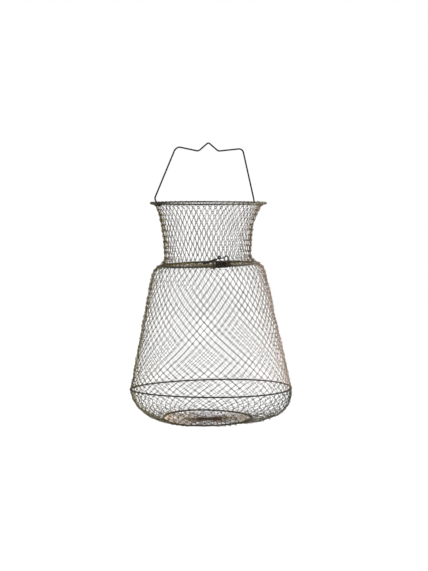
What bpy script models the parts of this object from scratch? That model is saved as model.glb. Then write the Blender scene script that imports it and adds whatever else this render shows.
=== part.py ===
"""Wire keep net: four wire rings hung one below the other in a tube of linked wire netting,
with a spring-closed trap door in the throat and a carrying bail hooked over the mouth ring.

Metres, +Z up, +X along the bail. The origin is under the bail's peak, where the net hangs.
Each ring has its own frame, because on a hanging net the rings swing a little off level and off
the axis. A net is turned upright and then settled between the frames of its two rings. The netting
of the sides is a coarse grid of diamonds, each bar of it for several of the fine linked wires.
"""

from collections import namedtuple
from math import asin, atan2, cos, exp, hypot, pi, radians, sin, sqrt

import bmesh
import bpy
from mathutils import Matrix, Vector

# clearances
FIT_GAP = 0.0003          # between wires that touch on the real net
SWING_GAP = 0.0010        # around pieces that turn past a net

# mouth ring and bail
MOUTH_RADIUS = 0.1174     # every ring's radius is to the middle of its wire
MOUTH_WIRE = 0.0034
BAIL_WIRE = 0.0032
BAIL_HEIGHT = 0.1224      # from the mouth ring to the peak, both to the middle of the wire
BAIL_BEND = 0.0045        # length of wire that a bend takes on each side
VALLEY_HALF_WIDTH = 0.0240
VALLEY_DEPTH = 0.0163     # depths are below the peak
LEFT_SHOULDER = 0.0716
LEFT_SHOULDER_DEPTH = 0.0079
LEFT_CORNER = 0.0802
LEFT_CORNER_DEPTH = 0.0129
RIGHT_SHOULDER = 0.0774
RIGHT_SHOULDER_DEPTH = 0.0114
RIGHT_CORNER = 0.0848
RIGHT_CORNER_DEPTH = 0.0154
BAIL_SWING = radians(60)  # to each side of upright
HOOK_HEIGHT = 0.0105      # the bend over a hook, above the middle of the mouth ring
HOOK_HALF_WIDTH = 0.0046
HOOK_TIP_HEIGHT = 0.0030  # the end of the wire, above the middle of the mouth ring
LEFT_HOOK_LEAN = 0.0110   # from the ring out to the bend over the left hook
RIGHT_HOOK_LEAN = -0.0067  # from the ring in to the bend over the right hook

# throat ring
THROAT_RADIUS = 0.0980
THROAT_WIRE = 0.0030
THROAT_DROP = 0.1250      # below the mouth ring
THROAT_TILT = radians(1.95)
THROAT_RISES_TOWARDS = radians(-32.6)

# belly ring
BELLY_RADIUS = 0.1648
BELLY_WIRE = 0.0028
BELLY_DROP = 0.2560       # below the throat ring
BELLY_TILT = radians(0.61)
BELLY_RISES_TOWARDS = radians(-32.6)
BELLY_SWAY = 0.0050
BELLY_SWAYS_TOWARDS = radians(-32.6)

# base ring
BASE_RADIUS = 0.0905
BASE_WIRE = 0.0028
BASE_DROP = 0.0610        # below the belly ring
BASE_TILT = radians(2.98)
BASE_RISES_TOWARDS = radians(57.4)
BASE_SWAY = 0.0022
BASE_SWAYS_TOWARDS = radians(147.4)

# netting
NET_THICKNESS = 0.0028
NET_SEGMENTS = 48         # two of them to each opening
NET_BAR = 0.0026
NET_HEM = 0.0060          # the plain edge along a ring
NET_LEANS_TOWARDS = radians(147.4)
NECK_ROWS = 6
NECK_RADIUS = 0.0860
NECK_LIP_INSET = 0.0070   # the flare's edge inside the mouth ring
NECK_FLARE_FADE = 0.0400
NECK_LIP_DROP = 0.0050
NECK_HEM = 0.0100         # height in which the neck opens onto the throat ring
NECK_LEAN = 0.0015        # how far the netting hangs to one side halfway down
SHOULDER_WIDTH = 0.0178
SHOULDER_DROP = 0.0195
SHOULDER_ROWS = 4
CONE_ROWS = 9
BODY_LEAN = 0.0016
BOWL_ROWS = 6
BOWL_TOP_FULLNESS = 0.0310
BOWL_FOOT_FULLNESS = 0.0480
BOWL_BULGE = 0.0032       # how far the bowl bags out all round
BOWL_LOPSIDE = 0.0070     # and how much more on its fuller side
BOWL_FULLER_TOWARDS = radians(-32.6)
BOWL_DROOP = 0.25         # the bag's drop for each unit outwards
BASE_SAG = 0.0030
DOOR_SAG = 0.0010
GATHER_RADIUS = 0.0080
GATHER_WIRE = 0.0020
GATHER_SEGMENTS = 20

# trap door
HINGE_TOWARDS = radians(-106.7)
DOOR_WIRE = 0.0024
DOOR_RIM_GAP = 0.0013     # between the door's hoop and the throat ring beside it
DOOR_DROP = 0.0015        # the hoop below the middle of the throat ring
DOOR_EYE_SPAN = 0.0330    # between the door's two eyes
DOOR_EYE_HALF_WIDTH = 0.0046
DOOR_EYE_HEIGHT = 0.0095
DOOR_EYE_BEND = 0.0030

# door spring
SPRING_WIRE = 0.0022
SPRING_RADIUS = 0.0060    # to the middle of the wire
SPRING_TURNS = 4.5
SPRING_LENGTH = 0.0240
SPRING_ARM = 0.0300       # reach of the arm that lies under the door
SPRING_TAIL = 0.0350      # reach of the tail that lies along the neck
SPRING_TAIL_HEIGHT = 0.0080
SPRING_CREST = 0.0200     # height of the wire over the coil
SPRING_KNOT_PLACE = 0.0040  # from the middle of the hinge, towards the tail
SPRING_KNOT_RADIUS = 0.0022
SPRING_BEND = 0.0030

COLLECTION = "wire_keep_net"
CUTTERS = "cutters"

Ring = namedtuple("Ring", "radius wire height frame")


def clear_scene():
    for thing in list(bpy.data.objects):
        bpy.data.objects.remove(thing, do_unlink=True)


def new_collection(name):
    collection = bpy.data.collections.new(name)
    bpy.context.scene.collection.children.link(collection)
    return collection


def new_material(name, color, roughness, metallic):
    material = bpy.data.materials.new(name)
    material.use_nodes = True
    shader = material.node_tree.nodes["Principled BSDF"]
    shader.inputs["Base Color"].default_value = (*color, 1.0)
    shader.inputs["Roughness"].default_value = roughness
    shader.inputs["Metallic"].default_value = metallic
    return material


def place(name, data, frame, parent=None, material=None):
    """An object in the net's collection, at a frame in world axes."""
    thing = bpy.data.objects.new(name, data)
    bpy.data.collections[COLLECTION].objects.link(thing)
    if parent:
        thing.parent = parent
        thing.matrix_parent_inverse = parent.matrix_basis.inverted()
    thing.matrix_basis = frame
    if material:
        data.materials.append(material)
    return thing


# wires

def towards(angle, length):
    return Vector((length * cos(angle), length * sin(angle), 0.0))


def circle_points(radius, height=0.0, count=NET_SEGMENTS):
    level = Vector((0.0, 0.0, height))
    return [towards(2 * pi * step / count, radius) + level for step in range(count)]


def rounded(corners, bend, steps=4):
    """The corners of a bent wire, each inner one replaced by a short curve."""
    points = [corners[0]]
    for before, corner, after in zip(corners, corners[1:], corners[2:]):
        back = before - corner
        ahead = after - corner
        start = corner + back.normalized() * min(bend, back.length * 0.45)
        end = corner + ahead.normalized() * min(bend, ahead.length * 0.45)
        for step in range(steps + 1):
            t = step / steps
            points.append(start * (1 - t) ** 2 + corner * 2 * t * (1 - t) + end * t ** 2)
    points.append(corners[-1])
    return points


def wire_curve(name, points, wire, closed=False):
    """A round wire along a run of points."""
    curve = bpy.data.curves.new(name, "CURVE")
    curve.dimensions = "3D"
    curve.bevel_depth = wire / 2
    curve.bevel_resolution = 2
    curve.use_fill_caps = not closed
    spline = curve.splines.new("POLY")
    spline.points.add(len(points) - 1)
    for spot, point in zip(spline.points, points):
        spot.co = (*point, 1.0)
    spline.use_cyclic_u = closed
    return curve


# rings

def ring_frame(height, tilt=0.0, rises_towards=0.0, sway=0.0, sways_towards=0.0):
    """A ring's own frame, at its middle and tipped so that it rises in one direction."""
    middle = towards(sways_towards, sway) + Vector((0.0, 0.0, height))
    tip_axis = towards(rises_towards - pi / 2, 1.0)
    return Matrix.Translation(middle) @ Matrix.Rotation(tilt, 4, tip_axis)


def lay_out_rings():
    """The four rings, from the mouth down to the base."""
    mouth_height = BAIL_WIRE / 2 - BAIL_HEIGHT
    throat_height = mouth_height - THROAT_DROP
    belly_height = throat_height - BELLY_DROP
    base_height = belly_height - BASE_DROP
    mouth = Ring(MOUTH_RADIUS, MOUTH_WIRE, mouth_height, ring_frame(mouth_height))
    throat = Ring(THROAT_RADIUS, THROAT_WIRE, throat_height,
                  ring_frame(throat_height, THROAT_TILT, THROAT_RISES_TOWARDS))
    belly = Ring(BELLY_RADIUS, BELLY_WIRE, belly_height,
                 ring_frame(belly_height, BELLY_TILT, BELLY_RISES_TOWARDS,
                            BELLY_SWAY, BELLY_SWAYS_TOWARDS))
    base = Ring(BASE_RADIUS, BASE_WIRE, base_height,
                ring_frame(base_height, BASE_TILT, BASE_RISES_TOWARDS,
                           BASE_SWAY, BASE_SWAYS_TOWARDS))
    return mouth, throat, belly, base


def add_ring(name, ring, parent, material):
    curve = wire_curve(name, circle_points(ring.radius), ring.wire, closed=True)
    return place(name, curve, ring.frame, parent, material)


# bail

def bail_hook_drop(mouth):
    """How far the middle of the bail's wire hooks below the middle of the mouth ring."""
    return mouth.wire / 2 + BAIL_WIRE / 2 + FIT_GAP


def bail_hook(mouth, side, lean):
    """A hook from the bend over it down, under the mouth ring and up, in the bail's plane.

    side is -1 on the left and 1 on the right. The wire goes down on the side that the bend
    leans to, and its end stands up on the ring's other side.
    """
    drop = bail_hook_drop(mouth)
    near = HOOK_HALF_WIDTH if lean > 0 else -HOOK_HALF_WIDTH
    outline = [
        (lean, HOOK_HEIGHT),
        (near, 0.0),
        (near * 0.6, -drop),
        (-near * 0.6, -drop),
        (-near, 0.0),
        (-near, HOOK_TIP_HEIGHT),
    ]
    return [Vector((side * (mouth.radius + out), 0.0, up)) for out, up in outline]


def add_bail(mouth, material):
    """The carrying bail: one wire with a raised peak, hooked under the ring at each end."""
    peak_loss = BAIL_BEND / 2 * VALLEY_DEPTH / hypot(VALLEY_DEPTH, VALLEY_HALF_WIDTH)
    crown = [
        (-LEFT_CORNER, -LEFT_CORNER_DEPTH),
        (-LEFT_SHOULDER, -LEFT_SHOULDER_DEPTH),
        (-VALLEY_HALF_WIDTH, -VALLEY_DEPTH),
        (0.0, peak_loss),
        (VALLEY_HALF_WIDTH, -VALLEY_DEPTH),
        (RIGHT_SHOULDER, -RIGHT_SHOULDER_DEPTH),
        (RIGHT_CORNER, -RIGHT_CORNER_DEPTH),
    ]
    corners = bail_hook(mouth, -1, LEFT_HOOK_LEAN)[::-1]
    corners += [Vector((across, 0.0, BAIL_HEIGHT + up)) for across, up in crown]
    corners += bail_hook(mouth, 1, RIGHT_HOOK_LEAN)
    lift = Vector((0.0, 0.0, mouth.height))
    path = [spot + lift for spot in rounded(corners, BAIL_BEND)]
    return place("bail_handle", wire_curve("bail_handle", path, BAIL_WIRE), Matrix.Identity(4),
                 None, material)


# netting

def curve_side(start, first, second, end, count):
    """Points on one cubic curve, in radius and height."""
    side = []
    for step in range(count + 1):
        t = step / count
        side.append(start * (1 - t) ** 3 + first * 3 * t * (1 - t) ** 2
                    + second * 3 * t ** 2 * (1 - t) + end * t ** 3)
    return side


def beside(ring, neighbour):
    """Where a net's edge stops at a ring: on the line to its next point, clear of the wire."""
    middle = Vector((ring.radius, ring.height))
    return middle + (neighbour - middle).normalized() * (ring.wire / 2 + FIT_GAP)


def neck_side(mouth, throat):
    """A flare at the mouth that fades into a straight neck, and a hem out to the throat ring."""
    flare = mouth.radius - NECK_LIP_INSET - NECK_RADIUS
    last = mouth.height - throat.height - NECK_HEM
    side = []
    for row in range(NECK_ROWS + 1):
        drop = NECK_LIP_DROP + (last - NECK_LIP_DROP) * row / NECK_ROWS
        side.append(Vector((NECK_RADIUS + flare * exp(-drop / NECK_FLARE_FADE),
                            mouth.height - drop)))
    return [beside(mouth, side[0])] + side + [beside(throat, side[-1])]


def body_side(throat, belly):
    """A rounded shoulder under the throat ring, then a straight cone to the belly ring."""
    start = Vector((throat.radius, throat.height))
    end = start + Vector((SHOULDER_WIDTH, -SHOULDER_DROP))
    first = start + Vector((SHOULDER_WIDTH * 0.55, -SHOULDER_DROP * 0.18))
    second = start + Vector((SHOULDER_WIDTH * 0.90, -SHOULDER_DROP * 0.45))
    side = curve_side(start, first, second, end, SHOULDER_ROWS)[1:]
    ring = Vector((belly.radius, belly.height))
    foot = ring + (end - ring).normalized() * NET_HEM
    side += [end.lerp(foot, row / CONE_ROWS) for row in range(1, CONE_ROWS + 1)]
    return [beside(throat, side[0])] + side + [beside(belly, side[-1])]


def bowl_side(belly, base):
    """The baggy bowl between the belly ring and the base ring."""
    start = Vector((belly.radius, belly.height))
    end = Vector((base.radius, base.height))
    first = start + Vector((-BOWL_TOP_FULLNESS * 0.06, -BOWL_TOP_FULLNESS))
    second = end + Vector((BOWL_FOOT_FULLNESS, BOWL_FOOT_FULLNESS * 0.09))
    side = curve_side(start, first, second, end, BOWL_ROWS)
    side[0] += (side[1] - side[0]).normalized() * NET_HEM
    side[-1] += (side[-2] - side[-1]).normalized() * NET_HEM
    return [beside(belly, side[0])] + side + [beside(base, side[-1])]


def disc_side(rim, sag):
    """A round of netting inside a hoop, drawn together on its gather ring."""
    hole = GATHER_RADIUS + GATHER_WIRE / 2 + FIT_GAP
    rows = 3
    return [Vector((rim + (hole - rim) * row / rows, -sag * row / rows))
            for row in range(rows + 1)]


def cut_openings(work, side, top, foot):
    """Diamond openings between two rows of a turned side, with the netting left as bars.

    Strands cross at every second corner of the side's faces. Each face is split between its two
    crossings, and then the pieces around each of the other corners are joined into one opening.
    """
    rows = {}
    crossings = set()
    for vert in work.verts:
        spot = Vector((hypot(vert.co.x, vert.co.y), vert.co.z))
        rows[vert] = min(range(len(side)), key=lambda row: (side[row] - spot).length)
        column = round(atan2(vert.co.y, vert.co.x) / (2 * pi) * NET_SEGMENTS)
        if (rows[vert] + column) % 2 == 0:
            crossings.add(vert)

    def within(face):
        return all(top <= rows[vert] <= foot for vert in face.verts)

    for face in [face for face in work.faces if within(face)]:
        bmesh.utils.face_split(face, *[vert for vert in face.verts if vert in crossings])
    middles = [vert for vert in rows if top < rows[vert] < foot and vert not in crossings]
    bmesh.ops.dissolve_verts(work, verts=middles)
    halves = [edge for edge in work.edges if len(crossings.intersection(edge.verts)) == 1
              and all(within(face) for face in edge.link_faces)]
    bmesh.ops.dissolve_edges(work, edges=halves)
    openings = [face for face in work.faces if within(face)]
    bmesh.ops.inset_individual(work, faces=openings, thickness=NET_BAR / 2, use_even_offset=True)
    bmesh.ops.delete(work, geom=openings, context="FACES_ONLY")


def add_net(name, side, settle, frame, parent, material, open_rows=None):
    """A side turned about the axis, moved point by point to where it hangs, and thickened.

    open_rows are the first and the last row of its openings.
    """
    mesh = bpy.data.meshes.new(name)
    work = bmesh.new()
    verts = [work.verts.new((spot.x, 0.0, spot.y)) for spot in side]
    edges = [work.edges.new(pair) for pair in zip(verts, verts[1:])]
    bmesh.ops.spin(work, geom=verts + edges, axis=(0, 0, 1), angle=2 * pi,
                   steps=NET_SEGMENTS, use_merge=True)
    if open_rows:
        cut_openings(work, side, *open_rows)
    to_local = frame.inverted()
    for vert in work.verts:
        vert.co = to_local @ settle(vert.co)
    bmesh.ops.recalc_face_normals(work, faces=work.faces)
    work.to_mesh(mesh)
    work.free()
    mesh.shade_smooth()
    net = place(name, mesh, frame, parent, material)
    shell = net.modifiers.new("netting", "SOLIDIFY")
    shell.thickness = NET_THICKNESS
    shell.offset = 0.0
    shell.use_even_offset = True
    return net


def between(upper, lower, lean=0.0):
    """Moves a point of an upright net to where its two rings carry it, and a little aside."""
    def settle(spot):
        share = (upper.height - spot.z) / (upper.height - lower.height)
        high = upper.frame @ (spot - Vector((0.0, 0.0, upper.height)))
        low = lower.frame @ (spot - Vector((0.0, 0.0, lower.height)))
        return high.lerp(low, share) + towards(NET_LEANS_TOWARDS, lean * sin(pi * share))
    return settle


def bagged(belly, base):
    """Moves a point of the upright bowl out and down, most on its fuller side, then settles it."""
    settle = between(belly, base)

    def bag(spot):
        down = (belly.height - spot.z) / (belly.height - base.height)
        inwards = (belly.radius - hypot(spot.x, spot.y)) / (belly.radius - base.radius)
        angle = atan2(spot.y, spot.x)
        fullness = BOWL_BULGE + BOWL_LOPSIDE * cos(angle - BOWL_FULLER_TOWARDS)
        out = fullness * sin(pi * (down + inwards) / 2)
        return settle(spot + towards(angle, out) - Vector((0.0, 0.0, out * BOWL_DROOP)))
    return bag


def cut_notch(net, name, frame, low, high):
    """Cuts a box out of a net where another piece passes through its edge."""
    bpy.ops.mesh.primitive_cube_add(size=1.0)
    cutter = bpy.context.active_object
    for holder in list(cutter.users_collection):
        holder.objects.unlink(cutter)
    bpy.data.collections[CUTTERS].objects.link(cutter)
    cutter.name = name
    cutter.matrix_world = (frame @ Matrix.Translation((low + high) / 2)
                           @ Matrix.Diagonal((*(high - low), 1.0)))
    cutter.hide_render = True
    cutter.display_type = "WIRE"
    cut = net.modifiers.new(name, "BOOLEAN")
    cut.object = cutter
    cut.operation = "DIFFERENCE"
    cut.solver = "EXACT"


def cut_for_bail(net, mouth):
    """Room in the neck's edge for the bail's two hooks and their swing."""
    drop = bail_hook_drop(mouth) + BAIL_WIRE / 2 + SWING_GAP
    inner = HOOK_HALF_WIDTH + BAIL_WIRE / 2 + SWING_GAP
    reach = bail_hook_drop(mouth) + HOOK_TIP_HEIGHT
    half = reach * sin(BAIL_SWING) + BAIL_WIRE / 2 + SWING_GAP
    for side, name in ((-1, "left_hook_notch"), (1, "right_hook_notch")):
        near = side * (mouth.radius - inner)
        far = side * (mouth.radius + inner)
        low = Vector((min(near, far), -half, -drop))
        high = Vector((max(near, far), half, drop))
        cut_notch(net, name, mouth.frame, low, high)


def cut_for_hinge(net, throat):
    """Room in a net's edge for the door's eyes and the coil between them."""
    half = DOOR_EYE_SPAN / 2 + DOOR_WIRE / 2 + SWING_GAP
    coil = SPRING_RADIUS + SPRING_WIRE / 2 + SWING_GAP
    lowest = throat.wire / 2 + FIT_GAP + SPRING_WIRE + SWING_GAP
    highest = 2 * coil - lowest + SWING_GAP
    low = Vector((-half, -coil - SWING_GAP, -lowest))
    high = Vector((half, coil + 2 * SWING_GAP, highest))
    cut_notch(net, net.name + "_notch", hinge_frame(throat), low, high)


# door and spring

def hinge_frame(throat):
    """On the throat ring at the hinge: X along it, Y in towards the middle, Z up."""
    return (throat.frame @ Matrix.Rotation(HINGE_TOWARDS + pi / 2, 4, "Z")
            @ Matrix.Translation((0.0, -throat.radius, 0.0)))


def ring_inset(throat, along):
    """How far the throat ring curves inwards at a place along the hinge."""
    return throat.radius - sqrt(throat.radius ** 2 - along ** 2)


def door_axis_frame(throat):
    """The door's axis: the straight line through the ring's wire at the door's two eyes."""
    return hinge_frame(throat) @ Matrix.Translation(
        (0.0, ring_inset(throat, DOOR_EYE_SPAN / 2), 0.0))


def door_radius(throat):
    return throat.radius - throat.wire / 2 - DOOR_RIM_GAP - DOOR_WIRE / 2


def door_eye(throat, along):
    """An eye of the door's hoop: up over the throat ring, down outside and back under it."""
    middle = ring_inset(throat, along)
    under = throat.wire / 2 + FIT_GAP + DOOR_WIRE / 2
    width = DOOR_EYE_HALF_WIDTH
    outline = [
        (middle + width, DOOR_DROP),
        (middle + width * 0.85, DOOR_EYE_HEIGHT),
        (middle - width * 0.85, DOOR_EYE_HEIGHT),
        (middle - width, 0.0),
        (middle - width * 0.55, -under),
        (middle + width * 0.15, -under),
    ]
    return [hinge_frame(throat) @ Vector((along, inward, up)) for inward, up in outline]


def add_door_frame(throat, parent, material):
    """The door's hoop, open at the hinge, with an eye around the throat ring at each end."""
    radius = door_radius(throat)
    half = asin(DOOR_EYE_SPAN / 2 / radius)
    level = Vector((0.0, 0.0, -DOOR_DROP))
    count = NET_SEGMENTS - 4
    hoop = []
    for step in range(count + 1):
        angle = HINGE_TOWARDS + half + (2 * pi - 2 * half) * step / count
        hoop.append(throat.frame @ (towards(angle, radius) + level))
    right = rounded(hoop[:1] + door_eye(throat, DOOR_EYE_SPAN / 2), DOOR_EYE_BEND)
    left = rounded(hoop[-1:] + door_eye(throat, -DOOR_EYE_SPAN / 2), DOOR_EYE_BEND)
    frame = door_axis_frame(throat)
    to_local = frame.inverted()
    path = [to_local @ spot for spot in right[:0:-1] + hoop + left[1:]]
    return place("door_frame", wire_curve("door_frame", path, DOOR_WIRE), frame, parent, material)


def spring_path(throat):
    """Along the hinge: tail, knot, crest, coil around the ring, and the arm under the door."""
    half = SPRING_LENGTH / 2
    inset = ring_inset(throat, half) / 2
    lift = SPRING_RADIUS - throat.wire / 2 - FIT_GAP * 1.5 - SPRING_WIRE / 2
    lean = SPRING_RADIUS * 0.6
    tail_inset = ring_inset(throat, SPRING_TAIL) + SPRING_RADIUS * 0.7
    knot_height = SPRING_CREST - SPRING_WIRE
    tail = [
        Vector((-SPRING_TAIL, tail_inset, SPRING_TAIL_HEIGHT)),
        Vector((-SPRING_TAIL * 0.5, lean, SPRING_TAIL_HEIGHT * 1.5)),
    ]
    knot = []
    turns = 12
    for step in range(turns + 1):
        angle = -pi / 2 + 2 * pi * step / turns
        out = (SPRING_WIRE + FIT_GAP) * step / turns
        knot.append(Vector((-SPRING_KNOT_PLACE + SPRING_KNOT_RADIUS * cos(angle), lean - out,
                            knot_height + SPRING_KNOT_RADIUS * sin(angle))))
    steps = 10
    coil = []
    for step in range(int(SPRING_TURNS * steps) + 1):
        angle = 2 * pi * step / steps
        coil.append(Vector((half - SPRING_LENGTH * step / (SPRING_TURNS * steps),
                            inset - SPRING_RADIUS * sin(angle),
                            lift + SPRING_RADIUS * cos(angle))))
    crest = [
        knot[-1],
        Vector((SPRING_LENGTH * 0.06, lean * 0.5, knot_height - SPRING_KNOT_RADIUS)),
        Vector((SPRING_LENGTH * 0.42, lean * 0.5, SPRING_CREST)),
        Vector((half + SPRING_WIRE * 0.6, lean * 0.4, SPRING_CREST * 0.75)),
        Vector((half + SPRING_WIRE * 0.4, inset + SPRING_WIRE, coil[0].z + SPRING_WIRE)),
        coil[0],
    ]
    under = DOOR_DROP + NET_THICKNESS / 2 + FIT_GAP + SPRING_WIRE / 2
    arm = [
        coil[-1],
        Vector((-half, SPRING_RADIUS, -under)),
        Vector((-half, SPRING_ARM, -under - DOOR_SAG)),
    ]
    return (rounded(tail + knot[:1], SPRING_BEND)[:-1] + knot[:-1]
            + rounded(crest, SPRING_BEND)[:-1] + coil[:-1] + rounded(arm, SPRING_BEND))


def add_spring(throat, parent, material):
    curve = wire_curve("door_spring", spring_path(throat), SPRING_WIRE)
    return place("door_spring", curve, hinge_frame(throat), parent, material)


# assembly

def joint_empty(name, frame, parent=None):
    """An empty on a moving body's joint, which carries the body's pieces."""
    empty = place(name, None, frame, parent)
    empty.empty_display_size = 0.02
    return empty


def build():
    clear_scene()
    new_collection(COLLECTION)
    new_collection(CUTTERS)
    black_wire = new_material("black_wire", (0.030, 0.028, 0.026), 0.55, 0.6)
    netting = new_material("netting", (0.165, 0.150, 0.128), 0.60, 0.7)
    disc_netting = new_material("disc_netting", (0.150, 0.122, 0.098), 0.65, 0.6)
    door_wire = new_material("door_wire", (0.050, 0.038, 0.028), 0.65, 0.5)
    spring_wire = new_material("spring_wire", (0.060, 0.038, 0.026), 0.70, 0.5)

    mouth, throat, belly, base = lay_out_rings()
    bail = add_bail(mouth, black_wire)

    bail_pivot = mouth.frame @ Matrix.Translation((0.0, 0.0, -bail_hook_drop(mouth)))
    mouth_joint = joint_empty("mouth_joint", bail_pivot, bail)
    throat_joint = joint_empty("throat_joint", throat.frame, mouth_joint)
    door_joint = joint_empty("door_joint", door_axis_frame(throat), throat_joint)
    belly_joint = joint_empty("belly_joint", belly.frame, throat_joint)
    base_joint = joint_empty("base_joint", base.frame, belly_joint)

    add_ring("mouth_ring", mouth, mouth_joint, black_wire)
    neck = add_net("neck_net", neck_side(mouth, throat), between(mouth, throat, NECK_LEAN),
                   mouth.frame, mouth_joint, netting, (1, 1 + NECK_ROWS))
    cut_for_bail(neck, mouth)
    cut_for_hinge(neck, throat)

    add_ring("throat_ring", throat, throat_joint, black_wire)
    body = add_net("body_net", body_side(throat, belly), between(throat, belly, BODY_LEAN),
                   throat.frame, throat_joint, netting,
                   (SHOULDER_ROWS, SHOULDER_ROWS + CONE_ROWS))
    cut_for_hinge(body, throat)
    add_spring(throat, throat_joint, spring_wire)

    add_door_frame(throat, door_joint, door_wire)
    door_level = throat.frame @ Matrix.Translation((0.0, 0.0, -DOOR_DROP))
    door_rim = door_radius(throat) - DOOR_WIRE / 2 - FIT_GAP
    door_net = add_net("door_net", disc_side(door_rim, DOOR_SAG), lambda spot: door_level @ spot,
                       door_axis_frame(throat), door_joint, disc_netting)
    cut_for_hinge(door_net, throat)
    door_gather = circle_points(GATHER_RADIUS, -DOOR_SAG, GATHER_SEGMENTS)
    place("door_gather_ring", wire_curve("door_gather_ring", door_gather, GATHER_WIRE, closed=True),
          door_level, door_joint, door_wire)

    add_ring("belly_ring", belly, belly_joint, black_wire)
    add_net("bowl_net", bowl_side(belly, base), bagged(belly, base),
            belly.frame, belly_joint, netting, (1, 1 + BOWL_ROWS))

    add_ring("base_ring", base, base_joint, black_wire)
    base_rim = base.radius - base.wire / 2 - FIT_GAP
    add_net("base_net", disc_side(base_rim, BASE_SAG), lambda spot: base.frame @ spot,
            base.frame, base_joint, disc_netting)
    base_gather = circle_points(GATHER_RADIUS, -BASE_SAG, GATHER_SEGMENTS)
    place("base_gather_ring", wire_curve("base_gather_ring", base_gather, GATHER_WIRE, closed=True),
          base.frame, base_joint, door_wire)


build()
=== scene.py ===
from math import asin, cos, exp, pi, radians, sin, sqrt

import bpy
import numpy as np
from mathutils import Matrix, Vector, noise


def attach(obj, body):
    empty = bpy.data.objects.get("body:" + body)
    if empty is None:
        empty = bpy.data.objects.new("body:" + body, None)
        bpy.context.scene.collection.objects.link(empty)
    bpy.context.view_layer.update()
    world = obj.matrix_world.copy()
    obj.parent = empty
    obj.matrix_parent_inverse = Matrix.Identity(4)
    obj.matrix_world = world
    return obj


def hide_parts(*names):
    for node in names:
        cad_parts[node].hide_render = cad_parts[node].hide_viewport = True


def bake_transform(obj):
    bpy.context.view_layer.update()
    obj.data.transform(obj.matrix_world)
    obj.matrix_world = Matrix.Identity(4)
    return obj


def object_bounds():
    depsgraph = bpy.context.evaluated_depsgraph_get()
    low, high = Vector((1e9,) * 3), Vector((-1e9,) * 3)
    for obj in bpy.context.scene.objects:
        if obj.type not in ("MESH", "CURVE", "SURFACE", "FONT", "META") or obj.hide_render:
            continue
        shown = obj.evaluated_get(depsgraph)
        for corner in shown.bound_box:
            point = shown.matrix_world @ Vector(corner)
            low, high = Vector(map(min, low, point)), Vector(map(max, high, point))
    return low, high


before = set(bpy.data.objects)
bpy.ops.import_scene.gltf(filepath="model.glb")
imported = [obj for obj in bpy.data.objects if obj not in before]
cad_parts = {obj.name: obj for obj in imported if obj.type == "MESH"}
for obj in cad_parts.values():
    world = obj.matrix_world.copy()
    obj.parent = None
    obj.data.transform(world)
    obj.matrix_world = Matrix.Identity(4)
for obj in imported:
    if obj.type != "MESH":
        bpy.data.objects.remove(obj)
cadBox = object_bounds()
print("frame loaded")


# camera, at the height and distance that the photograph was taken from

view = {
    "distance": 4.235,       # metres from the net's axis
    "looksTowards": 57.4,    # degrees round from +X
    "height": -0.025,        # just below the bail's peak
    "aimHeight": -0.290,
    "aimAside": 0.0115,      # the net hangs a little left of the middle
    "pictureHeight": 1.172,  # what the picture takes in, measured at the net
    "sensor": 36,            # millimetres
}


def addCamera():
    ahead = Vector((cos(radians(view["looksTowards"])), sin(radians(view["looksTowards"])), 0))
    right = Vector((ahead.y, -ahead.x, 0))
    spot = right * view["aimAside"] - ahead * view["distance"] + Vector((0, 0, view["height"]))
    target = right * view["aimAside"] + Vector((0, 0, view["aimHeight"]))
    lens = bpy.data.cameras.new("camera")
    lens.sensor_width = view["sensor"]
    lens.lens = view["sensor"] * (target - spot).length / view["pictureHeight"]
    lens.clip_end = 50
    camera = bpy.data.objects.new("camera", lens)
    camera.location = spot
    camera.rotation_euler = (target - spot).to_track_quat("-Z", "Y").to_euler()
    bpy.context.scene.collection.objects.link(camera)
    bpy.context.scene.camera = camera


addCamera()
print("camera placed")


# studio

studio = {
    "floorGap": 0.42,        # the net hangs this far above the floor
    "floorSize": 14.0,
    "skyLevel": 0.62,
    "paperTones": (0.90, 0.94),
    "paperFibre": 60,        # fibres to a metre
    "paperGlow": 1.13,       # makes the floor white where it is seen
    "paperShare": 0.8,       # how much of that glow counts; the rest keeps the net's soft shadow
    "lamps": {               # direction round from the camera, height, size and power
        "key_lamp": (-38, 1.9, 1.6, 62),
        "fill_lamp": (52, 0.9, 2.2, 26),
        "rim_lamp": (168, 2.0, 1.8, 40),
    },
    "lampDistance": 2.6,
}


def whiteBackdrop(tree, output, lit):
    # what the camera sees, also in and through a shiny thing, is white; the light stays lit's own
    links = tree.links
    path = tree.nodes.new("ShaderNodeLightPath")
    seen = tree.nodes.new("ShaderNodeMath")
    seen.operation = "MAXIMUM"
    links.new(path.outputs["Is Camera Ray"], seen.inputs[0])
    links.new(path.outputs["Is Glossy Ray"], seen.inputs[1])
    through = tree.nodes.new("ShaderNodeMath")
    through.operation = "MAXIMUM"
    links.new(seen.outputs[0], through.inputs[0])
    links.new(path.outputs["Is Transmission Ray"], through.inputs[1])
    mix = tree.nodes.new("ShaderNodeMixShader")
    links.new(through.outputs[0], mix.inputs[0])
    links.new(lit, mix.inputs[1])
    links.new(mix.outputs[0], output.inputs["Surface"])
    return mix


def addSky():
    world = bpy.data.worlds.new("studio")
    bpy.context.scene.world = world
    world.use_nodes = True
    tree = world.node_tree
    soft = tree.nodes["Background"]
    soft.inputs["Color"].default_value = (1, 1, 1, 1)
    soft.inputs["Strength"].default_value = studio["skyLevel"]
    white = tree.nodes.new("ShaderNodeBackground")
    white.inputs["Color"].default_value = (1, 1, 1, 1)
    white.inputs["Strength"].default_value = 1.0
    mix = whiteBackdrop(tree, tree.nodes["World Output"], soft.outputs[0])
    tree.links.new(white.outputs[0], mix.inputs[2])


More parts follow.
